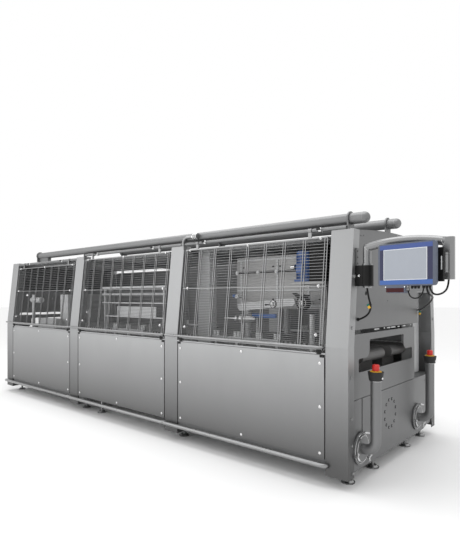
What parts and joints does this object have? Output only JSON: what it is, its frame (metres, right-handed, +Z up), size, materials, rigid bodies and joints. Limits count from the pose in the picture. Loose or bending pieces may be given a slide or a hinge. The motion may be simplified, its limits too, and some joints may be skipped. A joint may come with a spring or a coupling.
{
  "type": "tray sealer",
  "caption": "Long tray sealing machine with mesh guards that lift, folded steel uprights, end tray openings, a panel on a swing arm and emergency stops.",
  "frame": {"origin": "on the floor, under the middle of the machine's overall length and depth, swing arm included", "axes": "+X along the machine towards the end with the control panel, -Y to the front, +Z up"},
  "size_m": [6.233, 2.0218, 2.0629],
  "materials": {
    "steel": "bead-blasted stainless steel",
    "press_alloy": "satin",
    "motor_blue": "blue enamel",
    "panel_grey": "satin",
    "dark_glass": "tinted window",
    "black_casting": "matt black",
    "yellow": "gloss",
    "red": "gloss",
    "belt": "matt",
    "cable": "matt sheath"
  },
  "bodies": {
    "frame": {"arm_bracket": "black_casting", "arm_lead": "cable", "base_housing": "steel", "bay_fittings": "steel", "chain_deck": "steel", "conduit": "steel", "drive_box": "steel", "drive_motor": "motor_blue", "end_panels_lower": "steel", "end_panels_upper": "steel", "far_end_middle": "steel", "foot_rails": "steel", "guide_rails": "steel", "hinge_tubes": "steel", "inner_columns": "press_alloy", "levelling_feet": "steel", "lower_panels": "steel", "near_end_middle": "steel", "panel_lead": "cable", "pipe_brackets": "steel", "press": "press_alloy", "press_pillars": "press_alloy", "recess_linings": "steel", "recess_services": "steel", "standpipes": "steel", "stop_rings": "yellow", "top_beams": "steel", "top_pipes": "steel", "tray_belts": "belt", "uprights": "steel"},
    "door_guard_front_1": {"guard_front_1": "steel", "handle_front_1": "steel"},
    "door_guard_front_2": {"guard_front_2": "steel", "handle_front_2": "steel"},
    "door_guard_front_3": {"guard_front_3": "steel", "handle_front_3": "steel"},
    "door_guard_rear_1": {"guard_rear_1": "steel", "handle_rear_1": "steel"},
    "door_guard_rear_2": {"guard_rear_2": "steel", "handle_rear_2": "steel"},
    "door_guard_rear_3": {"guard_rear_3": "steel", "handle_rear_3": "steel"},
    "arm": {"swing_arm": "steel"},
    "panel": {"control_panel": "panel_grey", "scanner": "dark_glass", "panel_glands": "black_casting", "post_lead": "cable", "reader_lead": "cable"},
    "stop_front": {"stop_button_front": "red"},
    "stop_rear": {"stop_button_rear": "red"}
  },
  "joints": [
    {"name": "front_guard_1_lift", "type": "hinge", "parent": "frame", "child": "door_guard_front_1", "pos_m": [-2.128, -0.86, 1.874], "axis": [-1, 0, 0], "range_deg": [0, 80]},
    {"name": "front_guard_2_lift", "type": "hinge", "parent": "frame", "child": "door_guard_front_2", "pos_m": [-0.333, -0.86, 1.9143], "axis": [-1, 0, 0], "range_deg": [0, 80]},
    {"name": "front_guard_3_lift", "type": "hinge", "parent": "frame", "child": "door_guard_front_3", "pos_m": [1.462, -0.86, 1.9143], "axis": [-1, 0, 0], "range_deg": [0, 80]},
    {"name": "rear_guard_1_lift", "type": "hinge", "parent": "frame", "child": "door_guard_rear_1", "pos_m": [-2.128, 0.86, 1.874], "axis": [1, 0, 0], "range_deg": [0, 80]},
    {"name": "rear_guard_2_lift", "type": "hinge", "parent": "frame", "child": "door_guard_rear_2", "pos_m": [-0.333, 0.86, 1.9143], "axis": [1, 0, 0], "range_deg": [0, 80]},
    {"name": "rear_guard_3_lift", "type": "hinge", "parent": "frame", "child": "door_guard_rear_3", "pos_m": [1.462, 0.86, 1.9143], "axis": [1, 0, 0], "range_deg": [0, 80]},
    {"name": "arm_swing", "type": "hinge", "parent": "frame", "child": "arm", "pos_m": [2.5245, -0.81, 1.62], "axis": [0, 0, 1], "range_deg": [-50, 80], "deforming": ["panel_lead"]},
    {"name": "panel_swivel", "type": "hinge", "parent": "arm", "child": "panel", "pos_m": [3.0765, -0.86, 1.62], "axis": [0, 0, 1], "range_deg": [0, 60], "deforming": ["panel_lead", "post_lead"]},
    {"name": "stop_front_press", "type": "slide", "parent": "frame", "child": "stop_front", "axis": [0, 0, -1], "range_m": [0, 0.004]},
    {"name": "stop_rear_press", "type": "slide", "parent": "frame", "child": "stop_rear", "axis": [0, 0, -1], "range_m": [0, 0.004]}
  ]
}
